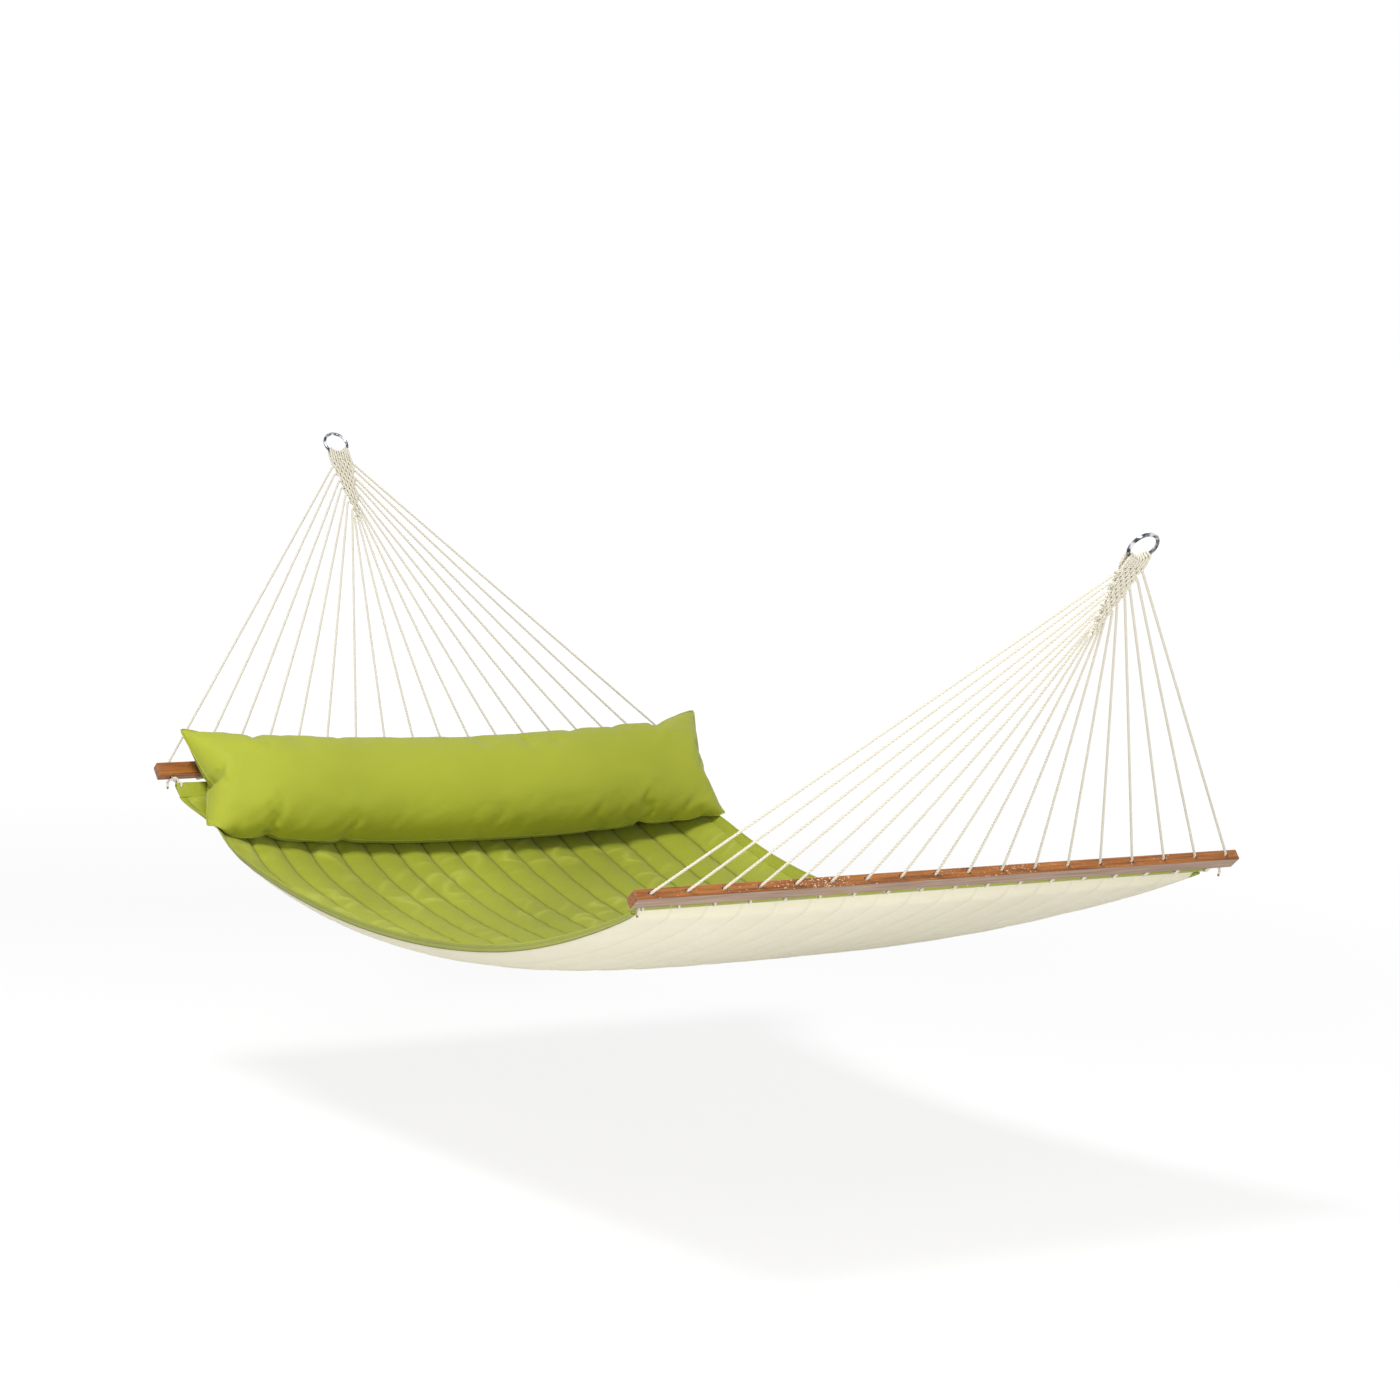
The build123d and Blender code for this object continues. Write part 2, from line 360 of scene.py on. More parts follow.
def bump(tree, shader, height, strength, distance):
    node = tree.nodes.new("ShaderNodeBump")
    node.inputs["Strength"].default_value = strength
    node.inputs["Distance"].default_value = distance
    tree.links.new(height, node.inputs["Height"])
    tree.links.new(node.outputs["Normal"], shader.inputs["Normal"])


def weave_height(tree, threads_per_metre):
    """Plain weave: two sets of crossing threads, as the height of the cloth."""
    place = mapped(tree)
    split = tree.nodes.new("ShaderNodeSeparateXYZ")
    tree.links.new(place, split.inputs[0])
    turn = threads_per_metre * math.pi
    warp = maths(tree, "SINE", maths(tree, "MULTIPLY", split.outputs["X"], turn))
    weft = maths(tree, "SINE", maths(tree, "MULTIPLY", split.outputs["Y"], turn))
    return maths(tree, "MULTIPLY", warp, weft)


def cloth_material(name, light, dark, slub, roughness, sheen, seam_shade, wrinkle):
    """Woven outdoor cloth: two tones, uneven yarn, a fine weave, painted shade in the seams and painted highlights
    on the creases.
    """
    material, tree, shader = new_material(name)
    broad = noise_node(tree, mapped(tree), scale=2.2, detail=3.0)
    lengthwise = mapped(tree, (YARN_STRETCH, 1.0, YARN_STRETCH))
    crosswise = mapped(tree, (1.0, YARN_STRETCH, YARN_STRETCH))
    yarn = noise_node(tree, lengthwise, slub, detail=3.0, roughness=0.7)
    cross_yarn = noise_node(tree, crosswise, slub, detail=3.0, roughness=0.7)
    fleck = weighed(tree, yarn, cross_yarn, 0.5)
    colour = ramp(tree, weighed(tree, broad, fleck, 0.5), [(0.36, dark), (0.64, light)])
    # Painted highlight: the crease ridges are lightened toward a pale green.
    worn = maths(tree, "MULTIPLY", attribute(tree, "crease"), CREASE_PAINTED_HIGHLIGHT)
    crease_highlighted = mix(tree, worn, colour, srgb(206, 211, 96))
    # Painted shade: the seam valleys are darkened toward black.
    shade = maths(tree, "MULTIPLY", attribute(tree, "seam"), seam_shade)
    tree.links.new(mix(tree, shade, crease_highlighted, BLACK), shader.inputs["Base Color"])
    shader.inputs["Roughness"].default_value = roughness
    shader.inputs["Sheen Weight"].default_value = sheen
    shader.inputs["Sheen Roughness"].default_value = 0.5
    shader.inputs["Specular IOR Level"].default_value = 0.35
    threads = maths(tree, "ADD", weave_height(tree, THREADS_PER_METRE), fleck)
    weave = maths(tree, "MULTIPLY", threads, WEAVE_RELIEF)
    fold = noise_node(tree, mapped(tree, (1.0, 0.4, 1.0)), scale=34.0, detail=3.0, roughness=0.6)
    ridge = maths(tree, "ABSOLUTE", maths(tree, "SUBTRACT", fold, 0.5))
    height = maths(tree, "SUBTRACT", weave, maths(tree, "MULTIPLY", ridge, wrinkle))
    bump(tree, shader, height, strength=0.35, distance=0.003)
    return material


def rope_material():
    """Twisted white rope with painted shade between its strands, and singed brown tips."""
    material, tree, shader = new_material("rope_fibre")
    fibre = noise_node(tree, mapped(tree), scale=900.0, detail=2.0)
    patches = noise_node(tree, mapped(tree), scale=14.0, detail=3.0)
    pale = mix(tree, patches, srgb(224, 220, 208), srgb(212, 207, 192))
    # Painted shade: the valleys between the strands are darkened toward tan.
    strand = mix(tree, attribute(tree, "crown"), srgb(192, 184, 162), pale)
    fibrous = mix(tree, maths(tree, "MULTIPLY", fibre, 0.2), strand, srgb(200, 193, 172))
    colour = mix(tree, attribute(tree, "tip"), fibrous, srgb(126, 78, 42))
    tree.links.new(colour, shader.inputs["Base Color"])
    shader.inputs["Roughness"].default_value = 0.8
    shader.inputs["Sheen Weight"].default_value = 0.25
    bump(tree, shader, fibre, strength=0.5, distance=0.0003)
    return material


def facing(tree, way):
    """1 on faces that look along a direction, and 0 on the others."""
    place = tree.nodes.new("ShaderNodeTexCoord")
    dot = tree.nodes.new("ShaderNodeVectorMath")
    dot.operation = "DOT_PRODUCT"
    dot.inputs[1].default_value = tuple(way)
    tree.links.new(place.outputs["Normal"], dot.inputs[0])
    return maths(tree, "GREATER_THAN", dot.outputs["Value"], FACING_LIMIT)


def wood_material(end):
    """Varnished hardwood, chipped here and there, with a painted taupe sheen on its underside."""
    material, tree, shader = new_material(end.name + "_bar_wood")
    grain = noise_node(tree, mapped(tree, (60.0, 2.2, 60.0)), scale=3.0, detail=6.0, roughness=0.65)
    streak = noise_node(tree, mapped(tree, (260.0, 5.0, 260.0)), scale=2.0, detail=3.0, roughness=0.6)
    tone = weighed(tree, grain, streak, 0.65)
    varnished = ramp(tree, tone, [(0.36, srgb(86, 46, 14)), (0.5, srgb(138, 80, 26)),
                                  (0.66, srgb(168, 108, 44))])
    painted_sheen_tone = ramp(tree, tone, [(0.36, srgb(122, 98, 82)), (0.5, srgb(150, 125, 107)),
                                  (0.66, srgb(168, 146, 128))])
    chips = noise_node(tree, mapped(tree, (1.0, 0.45, 1.0)), scale=420.0, detail=2.0)
    patches = noise_node(tree, mapped(tree), scale=5.0, detail=2.0)
    chipping = maths(tree, "ADD", chips, maths(tree, "MULTIPLY", patches, 0.35))
    bare = ramp(tree, chipping, [(0.84, BLACK), (0.88, WHITE)])
    chipped = mix(tree, bare, varnished, srgb(226, 206, 178))
    # Painted sheen: the underside faces take a taupe tone that stands for pale surroundings reflected at a grazing
    # angle.
    under = np.cross(end.bore, ACROSS)
    side = facing(tree, -under if under[2] > 0 else under)
    tree.links.new(mix(tree, side, chipped, painted_sheen_tone), shader.inputs["Base Color"])
    roughness = maths(tree, "ADD", maths(tree, "MULTIPLY", side, 0.25), 0.4)
    tree.links.new(roughness, shader.inputs["Roughness"])
    bump(tree, shader, tone, strength=0.3, distance=0.0006)
    return material


def steel_material():
    """Bright steel wire with painted dark reflections in patches, and fine scratches."""
    material, tree, shader = new_material("ring_steel")
    scratch = noise_node(tree, mapped(tree, (1.0, 1.0, 9.0)), scale=420.0, detail=3.0)
    painted_dark_reflection = noise_node(tree, mapped(tree), scale=70.0, detail=1.0)
    # Painted reflection: dark patches in the base colour stand for a dark surround mirrored in the steel.
    tones = [(0.4, srgb(62, 68, 76)), (0.5, srgb(140, 144, 150)), (0.6, srgb(232, 232, 234))]
    tree.links.new(ramp(tree, painted_dark_reflection, tones), shader.inputs["Base Color"])
    shader.inputs["Metallic"].default_value = 1.0
    roughness = maths(tree, "MULTIPLY", maths(tree, "ADD", scratch, 0.25), 0.3)
    tree.links.new(roughness, shader.inputs["Roughness"])
    bump(tree, shader, scratch, strength=0.15, distance=0.0002)
    return material


GREEN = cloth_material(
    "green_cloth", srgb(160, 167, 42), srgb(130, 137, 28),
    slub=260.0, roughness=0.6, sheen=0.1, seam_shade=0.42, wrinkle=4.5,
)
GREEN_PILLOW = cloth_material(
    "green_pillow_cloth", srgb(165, 172, 42), srgb(143, 149, 32),
    slub=320.0, roughness=0.66, sheen=0.12, seam_shade=0.0, wrinkle=1.0,
)
THREAD = cloth_material(
    "green_thread", srgb(128, 136, 32), srgb(104, 112, 24),
    slub=320.0, roughness=0.7, sheen=0.1, seam_shade=0.0, wrinkle=0.0,
)
CREAM = cloth_material(
    "cream_cloth", srgb(224, 219, 197), srgb(214, 208, 184),
    slub=240.0, roughness=0.85, sheen=0.1, seam_shade=0.07, wrinkle=0.8,
)
ROPE = rope_material()
STEEL = steel_material()


def add_mesh(name, points, faces, material, attributes=None):
    mesh = bpy.data.meshes.new(name)
    mesh.from_pydata(np.asarray(points).reshape(-1, 3).tolist(), [], faces)
    mesh.polygons.foreach_set("use_smooth", [True] * len(mesh.polygons))
    for key, values in (attributes or {}).items():
        layer = mesh.attributes.new(key, "FLOAT", "POINT")
        layer.data.foreach_set("value", np.asarray(values, np.float32))
    mesh.materials.append(material)
    piece = bpy.data.objects.new(name, mesh)
    bpy.context.scene.collection.objects.link(piece)
    return piece


def grid_faces(rows, columns, closed=False, looped=False):
    """Four-sided faces over a grid, closed round its rows or joined end to end if asked."""
    faces = []
    for i in range(rows if looped else rows - 1):
        here, ahead = i * columns, (i + 1) % rows * columns
        for j in range(columns if closed else columns - 1):
            k = (j + 1) % columns
            faces.append((here + j, here + k, ahead + k, ahead + j))
    return faces


def end_caps(rows, columns):
    """The two faces that shut the first and the last row of a closed grid."""
    last = (rows - 1) * columns
    return [tuple(reversed(range(columns))), tuple(range(last, last + columns))]


def rounded(points, reach):
    """The same run of points with each corner rounded over a reach."""
    points = [np.asarray(p, float) for p in points]
    path = [points[0]]
    for before, corner, after in zip(points, points[1:], points[2:]):
        back, ahead = before - corner, after - corner
        near = min(reach, 0.5 * np.linalg.norm(back))
        far = min(reach, 0.5 * np.linalg.norm(ahead))
        start = corner + back / np.linalg.norm(back) * near
        end = corner + ahead / np.linalg.norm(ahead) * far
        for t in np.linspace(0, 1, CORNER_STEPS):
            path.append(start * (1 - t) ** 2 + corner * 2 * t * (1 - t) + end * t ** 2)
    path.append(points[-1])
    return np.array(path)


def evenly(path, step):
    """Points at equal steps along a path."""
    gaps = np.linalg.norm(np.diff(path, axis=0), axis=1)
    keep = np.concatenate([[True], gaps > SAME_PLACE])
    path = path[keep]
    run = np.concatenate([[0], np.cumsum(np.linalg.norm(np.diff(path, axis=0), axis=1))])
    count = max(int(round(run[-1] / step)), 2)
    places = np.linspace(0, run[-1], count + 1)
    return np.column_stack([np.interp(places, run, path[:, k]) for k in range(3)]), places


def tube_rings(path, radii, spin):
    """Rings of points about a path, on a frame that is carried along without twisting."""
    tangents = np.gradient(path, axis=0)
    tangents /= np.linalg.norm(tangents, axis=1)[:, None]
    normal = np.cross(tangents[0], SLANTED)
    rings = []
    corners = radii.shape[1]
    angles = np.arange(corners) / corners * 2 * math.pi
    for point, tangent, radius, turn in zip(path, tangents, radii, spin):
        normal = normal - tangent * normal.dot(tangent)
        normal /= np.linalg.norm(normal)
        side = np.cross(tangent, normal)
        rings.append(point + np.outer(radius * np.cos(angles + turn), normal)
                     + np.outer(radius * np.sin(angles + turn), side))
    return np.array(rings)


def rope_shape(path, width, singed):
    """Three strands laid round each other, as one closed tube, each end singed or clean."""
    line, run = evenly(path, CORD_STEP)
    crown = np.array([1.0, STRAND_SIDE, STRAND_VALLEY, STRAND_SIDE] * 3)
    radii = np.outer(np.ones(len(line)), crown) * width / 2
    radii[[0, -1]] *= END_PINCH
    rings = tube_rings(line, radii, run / LAY_LENGTH * 2 * math.pi)
    rows, columns = rings.shape[:2]
    faces = grid_faces(rows, columns, closed=True) + end_caps(rows, columns)
    # How high each point sits on its strand, which sets the painted shade in the valleys
    crowns = np.tile((crown - STRAND_VALLEY) / (1 - STRAND_VALLEY), rows)
    tips = (run < TAIL_TIP) * singed[0] + (run > run[-1] - TAIL_TIP) * singed[1]
    return rings.reshape(-1, 3), faces, crowns, np.repeat(tips, columns)


def rope_piece(name, path, width, singed=(0, 0)):
    points, faces, crowns, tips = rope_shape(path, width, singed)
    piece = add_mesh(name, points, faces, ROPE, {"crown": crowns, "tip": tips})
    return piece


def weave_order():
    """For each column, the layer, row and side at which its two strands leave."""
    half = CORDS_PER_END // 2
    order = {}
    for column in range(-half, half + 1):
        side = 1 if column <= 0 else -1
        row = 2 * (half - abs(column))
        if column:
            order[column] = [(1, row, side), (-1, row + 1, side)]
        else:
            order[column] = [(1, row, 1), (-1, row, -1)]
    return order


def row_level(row, side):
    """How far down the clew a leg leaves: the two legs of a row are half a row apart."""
    return FIRST_ROW + row * ROW_PITCH + (0 if side > 0 else ROW_PITCH / 2)


def bight_path(end, column):
    """The fold of one cord over the ring, in its own radial plane."""
    middle = (RING_OUTER - RING_WIRE) / 2
    offset = (RING_WIRE + CORD_WIDTH) / 2
    angle = column * CORD_WIDTH * FOLD_SPACING / (middle - offset)
    path = []
    for turn in np.linspace(0, math.pi, 9):
        reach = middle - offset * math.sin(turn)
        front = offset * math.cos(turn)
        path.append(end.in_clew(reach * math.sin(angle), reach * math.cos(angle), front))
    return path


def column_path(end, column, layer, stop):
    """A strand going down its column, changing from one layer to the other between rows."""
    depth = CORD_WIDTH * LAYER_DEPTH
    sidestep = CORD_WIDTH * SIDESTEP
    half_row = ROW_PITCH / 2
    last_level = stop - 0.2 * half_row
    place = column * COLUMN_PITCH
    points = []
    level = FIRST_ROW - half_row
    beat = column % 2
    side = layer
    while level < last_level:
        points.append(end.in_clew(place, level, side * depth))
        if beat % 2:
            points.append(end.in_clew(place + side * sidestep, level + half_row / 2, 0))
            side = -side
        beat += 1
        level += half_row
    return points, side


def leg_path(end, column, layer, row, side):
    """One leg from below the ring to the far side of its hole."""
    level = row_level(row, side)
    outer_column = CORDS_PER_END // 2 - row // 2
    leaving = side * (outer_column + LEAVE_MARGIN) * COLUMN_PITCH
    hole = side * ((2 * CORDS_PER_END - 1) / 2 - row) * HOLE_PITCH
    place = column * COLUMN_PITCH
    points, last = column_path(end, column, layer, level)
    depth = last * CORD_WIDTH * LAST_DEPTH
    points.append(end.in_clew(place + side * TURN_OUT / 3, level - TURN_OUT / 2, depth))
    points.append(end.in_clew(place + side * TURN_OUT, level, 0))
    points.append(end.in_clew(leaving, level + TURN_OUT / 3, 0))
    in_bore = ACROSS * (hole - side * HOLE_BEARING)
    points.append(end.entry + in_bore + end.bore * BORE_END)
    points.append(end.leave + in_bore - end.bore * BORE_END)
    return points, hole


def tail_path(end, hole, start, twist):
    """The free end of a cord. It hangs at the ends of a bar and lies on the hem elsewhere."""
    if abs(hole) > (CORDS_PER_END - 1) * HOLE_PITCH:
        bend = start - end.rise * TAIL_LENGTH / 2 + ACROSS * twist * TAIL_LENGTH / 3
        return [bend, bend - np.array([0, 0, TAIL_LENGTH * 0.6]) + end.fall * TAIL_LENGTH / 4]
    sideways = ACROSS * twist * TAIL_LENGTH * 0.4
    lean = noise.noise(Vector((hole * 31.7, end.ring[0], 0.5)))
    bend = start + sideways - end.rise * 0.002
    return [bend, bend + sideways - end.rise * (0.003 + 0.004 * lean)]


def knot_path(end, hole, twist):
    """Round the hem and back up, twice round its own leg in a knot, and out as a tail."""
    offset = SLEEVE_RADIUS + CORD_WIDTH * LOOP_HUG
    loop_start, loop_end = HEM_GAP * 0.7, HEM_GAP * 0.62
    points = [end.in_hem(hole, loop_start, offset * LOOP_CLOSING)]
    for turn in np.linspace(0, math.pi, 7):
        points.append(end.in_hem(hole, HEM_GAP + offset * math.sin(turn), offset * math.cos(turn)))
    points.append(end.in_hem(hole, loop_end, -offset * 0.7))
    wrap = CORD_WIDTH * KNOT_REACH
    for t in np.linspace(0, 1, KNOT_STEPS):
        along = KNOT_PLACE + KNOT_LENGTH * (1 - t)
        turn = math.pi * 1.5 + twist * 2 * math.pi * KNOT_TURNS * t
        leg = offset * along / HEM_GAP * LOOP_CLOSING
        point = end.in_hem(hole, along, leg + wrap * math.sin(turn))
        points.append(point + ACROSS * wrap * math.cos(turn))
    return points + tail_path(end, hole, points[-1], twist)


def make_cord(end, column, strands):
    """One doubled cord: its fold over the ring and both its legs down to their knots."""
    halves = []
    for layer, row, side in strands:
        points, hole = leg_path(end, column, layer, row, side)
        halves.append(points + knot_path(end, hole, side))
    front, back = halves
    singed = [int(row == 0) for _, row, _ in strands]
    path = rounded(front[::-1] + bight_path(end, column) + back, CORD_BEND)
    number = column + CORDS_PER_END // 2 + 1
    node = f"{end.name}_cord_{number}"
    piece = rope_piece(f"{end.name}_rope_{number}", path, CORD_WIDTH * CORD_FULLNESS, singed)
    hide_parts(node)
    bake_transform(piece)


def make_ring(end):
    """A welded ring of round wire, slightly thicker at the weld near its top."""
    middle = (RING_OUTER - RING_WIRE) / 2
    steps, corners = 128, 20
    points = []
    for turn in np.arange(steps) / steps * 2 * math.pi:
        centre = end.in_clew(middle * math.sin(turn), middle * math.cos(turn), 0)
        weld = math.exp(-((turn - WELD_ANGLE) / WELD_SPREAD) ** 2)
        radius = RING_WIRE / 2 * (1 + WELD_SWELL * weld)
        out = (centre - end.ring) / middle
        for k in range(corners):
            angle = 2 * math.pi * k / corners
            points.append(centre + out * radius * math.cos(angle) + end.front * radius * math.sin(angle))
    faces = grid_faces(steps, corners, closed=True, looped=True)
    piece = add_mesh(f"{end.name}_ring_wire", points, faces, STEEL)
    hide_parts(f"{end.name}_ring")
    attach(piece, end.name + "_clew")


def bed_station(share):
    """Place along X, half width, height of the edge and share of the full droop.

    From the head hem the droop starts in a straight run, where the cloth is pulled tight.
    """
    start, end = head.quilt_edge, foot.quilt_edge
    x = start[0] + (end[0] - start[0]) * share
    fullness = 4 * share * (1 - share)
    headward = share ** SAG_BIAS
    sag = EDGE_SAG * 4 * headward * (1 - headward)
    edge = start[2] + (end[2] - start[2]) * share - sag
    bulge = math.sqrt(max(math.sin(math.pi * math.sqrt(max(share, HEAD_RUN))), 0))
    droop = bulge * min(share / HEAD_RUN, 1)
    tuck = HEAD_TUCK * math.exp(-((share - TUCK_PLACE) / TUCK_PLACE) ** 2) * min(share / TUCK_PLACE, 1)
    return x, BED_HALF_WIDTH - WAIST * fullness - tuck, edge, droop


def bed_height(share, y):
    """Height of the bed's middle sheet: it hangs between its edges and isn't quite even."""
    x, half, edge, droop = bed_station(share)
    ends = min(1.0, 12 * share * (1 - share))
    slack = CLOTH_SLACK * ends * noise.noise(Vector((x * 2.3, y * 2.6, 3.1)))
    out = min(abs(y / half), 1)
    hollow = MID_DROOP * (1 - out ** DROOP_POWER) + LIP_DROOP * (1 - out ** LIP_POWER)
    return edge - droop * hollow + slack


def creases(x, y):
    """Short sharp folds that run across the channels, here and there."""
    away = abs(noise.noise(Vector((x * 15.0 + y * 4.0, y * 7.0 - x * 2.0, 2.0))))
    patch = noise.noise(Vector((x * 5.0, y * 5.0, 9.0)))
    ridge = max(0.0, 1 - away * CREASE_SHARPNESS)
    return ridge ** 1.5 * min(1.0, max(0.0, 3 * patch + 0.5))


def quilt_lift(x, y, place, puff, pucker):
    """How far the padded cloth stands off its seams at one point, and how creased it is."""
    swell = abs(math.sin(math.pi * place)) ** CHANNEL_ROUNDNESS
    tug = noise.noise(Vector((x * 42.0 + y * 9.0, round(place) * 5.3, 0.7)))
    pull = tug * swell * (1 - swell) * SEAM_PULL
    ripple = noise.noise(Vector((x * 24.0, y * 7.0, 1.7))) * RIPPLE
    crease = creases(x, y) * swell
    fullness = 1 + UNEVEN_FILL * noise.noise(Vector((x * 4.0, int(place) * 2.1, 6.3)))
    loose = (ripple + crease * CREASE_HEIGHT) * (0.25 + 0.75 * swell)
    return puff * swell * fullness + pucker * (pull + loose), crease


def quilt_surface(above, puff, pucker):
    """One face of the quilt, sewn into lengthwise channels that pucker along their seams."""
    points, marks = [], {"seam": [], "crease": []}
    for i in range(QUILT_ROWS):
        share = i / (QUILT_ROWS - 1)
        x, half = bed_station(share)[:2]
        reach = half - SIDE_HEM * 0.8
        fade = math.sin(math.pi / 2 * min(1, share / END_TAPER, (1 - share) / END_TAPER))
        for j in range(QUILT_COLUMNS):
            channel, step = divmod(j, CHANNEL_STEPS)
            place = channel + (1 - math.cos(math.pi * step / CHANNEL_STEPS)) / 2
            y = reach * (2 * place / CHANNELS - 1)
            lift, crease = quilt_lift(x, y, place, puff, pucker)
            points.append((x, y, bed_height(share, y) + (above + lift) * fade))
            # Marks for painting: shade along the seam valleys and a highlight on the crease ridges.
            marks["seam"].append(math.exp(-((place - round(place)) / SEAM_SHADE) ** 2))
            marks["crease"].append(crease)
    return points, marks


def stitch_rows(name, lines, out):
    """Rows of thread stitches: each is a short spindle that lies on the cloth."""
    points, faces = [], []
    radius = STITCH_WIDTH / 2
    for line in lines:
        places = evenly(np.array(line), STITCH_PITCH)[0]
        for before, after in zip(places, places[1:]):
            way = (after - before) * STITCH_SHARE
            start = before + (after - before) * (1 - STITCH_SHARE) / 2
            middle = start + way / 2
            up = np.cross(way, ACROSS)
            up *= out * radius / np.linalg.norm(up)
            base = len(points)
            points += [start, start + way, middle + ACROSS * radius, middle + up,
                       middle - ACROSS * radius, middle - up]
            for k in range(4):
                near, far = base + 2 + k, base + 2 + (k + 1) % 4
                faces += [(base, near, far), (base + 1, far, near)]
    piece = add_mesh(name, points, faces, THREAD)
    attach(piece, "sling")


def seam_lines(points):
    """The valleys between the channels of one face of the quilt, a little above the cloth."""
    up = np.array([0, 0, SEAM_STITCH_LIFT])
    rows = range(SEAM_END_ROWS, QUILT_ROWS - SEAM_END_ROWS)
    lines = []
    for seam in range(1, CHANNELS):
        column = seam * CHANNEL_STEPS
        lines.append([np.array(points[i * QUILT_COLUMNS + column]) + up for i in rows])
    return lines


def make_quilt_top():
    points, marks = quilt_surface(-TOP_SEAM_DEPTH, TOP_PUFF, TOP_PUCKER)
    piece = add_mesh("quilt_top", points, grid_faces(QUILT_ROWS, QUILT_COLUMNS), GREEN, marks)
    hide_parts("quilt_cover", "quilt_wadding")
    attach(piece, "sling")
    stitch_rows("quilt_top_stitches", seam_lines(points), 1)


def make_quilt_underside():
    points, marks = quilt_surface(UNDER_RISE - BED_THICKNESS, -UNDER_PUFF, UNDER_PUCKER)
    faces = [face[::-1] for face in grid_faces(QUILT_ROWS, QUILT_COLUMNS)]
    # The cream underside gets a little painted shade along its seams too.
    piece = add_mesh("quilt_underside", points, faces, CREAM, {"seam": marks["seam"]})
    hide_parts("quilt_backing")
    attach(piece, "sling")


def side_hem_place(row, side, out):
    """A place across the folded edge, from -1 inside to 1 outside, halfway through it."""
    share = row / (SIDE_ROWS - 1)
    x, half = bed_station(share)[:2]
    y = side * (half - SIDE_HEM / 2 + out * SIDE_HEM / 2)
    return x, y, bed_height(share, y) - SIDE_HEM_DEPTH


def side_hem_points(side, corners):
    """The folded edge as a flattened tube, pressed in along its sewn lines."""
    points = []
    for row in range(SIDE_ROWS):
        for k in range(corners):
            turn = 2 * math.pi * k / corners
            out = math.copysign(abs(math.cos(turn)) ** 0.6, math.cos(turn))
            up = math.copysign(abs(math.sin(turn)) ** 0.7, math.sin(turn))
            x, y, middle = side_hem_place(row, side, out)
            sewn = sum(math.exp(-((out - line) / SEWN_SPREAD) ** 2) for line in SEWN_LINES)
            uneven = 1 + 0.14 * noise.noise(Vector((x * 30, y * 20, side)))
            thick = SIDE_HEM_THICK * (1 - SEWN_PRESS * sewn) * uneven
            points.append((x, y, middle + up * thick))
    return points


def stitch_side_hem(name, side):
    """The thread of both sewn lines, above and below the folded edge."""
    for out, where in ((1, "top"), (-1, "under")):
        lines = []
        for sewn in SEWN_LINES:
            places = [side_hem_place(row, side, sewn) for row in range(2, SIDE_ROWS - 2)]
            lines.append([(x, y, z + out * SIDE_STITCH_LIFT) for x, y, z in places])
        stitch_rows(f"{name}_edge_stitches_{where}", lines, out)


def make_side_hem(side):
    """The folded long edge with its stitches."""
    corners = 20
    faces = grid_faces(SIDE_ROWS, corners, closed=True)
    if side > 0:
        faces = [face[::-1] for face in faces]
    faces += [cap[::-1] for cap in end_caps(SIDE_ROWS, corners)]
    name = "right" if side > 0 else "left"
    piece = add_mesh(f"{name}_edge_binding", side_hem_points(side, corners), faces, GREEN)
    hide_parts(f"{name}_side_hem")
    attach(piece, "sling")
    stitch_side_hem(name, side)


def hole_places():
    """Where the holes lie along a bar, from its middle."""
    count = 2 * CORDS_PER_END
    return [(k - (count - 1) / 2) * HOLE_PITCH for k in range(count)]


def end_hem_points(end, rows, corners):
    """The rolled end, pinched by each cord loop, with a tongue that reaches into the quilt."""
    loops = [place * HEM_GATHER for place in hole_places()]
    tongue = SLEEVE_RADIUS + TONGUE * TONGUE_OVERLAP
    points = []
    for i in range(rows):
        y = BED_HALF_WIDTH * (2 * i / (rows - 1) - 1)
        near = min(abs(y - loop) for loop in loops)
        pinch = math.exp(-(near / HEM_PINCH) ** 2)
        wobble = noise.noise(Vector((y * 38, end.ring[0], 0.3)))
        radius = SLEEVE_RADIUS * (1.06 - 0.2 * pinch + 0.1 * wobble)
        for k in range(corners):
            turn = 2 * math.pi * k / corners
            along, rise = radius * math.cos(turn), radius * math.sin(turn)
            if along > 0:
                drawn = math.cos(turn) ** 1.4
                along = drawn * tongue
                rise *= 1 - 0.45 * drawn
            points.append(end.hem + end.fall * along + end.rise * rise + ACROSS * y)
    return points


def make_hem_rope(end):
    """The cord inside the rolled end."""
    ends = [end.hem - ACROSS * BED_HALF_WIDTH, end.hem + ACROSS * BED_HALF_WIDTH]
    cord = rope_piece(f"{end.name}_hem_rope", np.array(ends), HEM_CORD_WIDTH)
    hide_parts(f"{end.name}_hem_cord")
    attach(cord, "sling")


def make_end_hem(end):
    """The rolled end of the cloth and the cord inside it."""
    rows, corners = 421, 22
    faces = grid_faces(rows, corners, closed=True) + end_caps(rows, corners)
    piece = add_mesh(f"{end.name}_rolled_hem", end_hem_points(end, rows, corners), faces, GREEN)
    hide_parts(f"{end.name}_hem_sleeve")
    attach(piece, "sling")
    make_hem_rope(end)


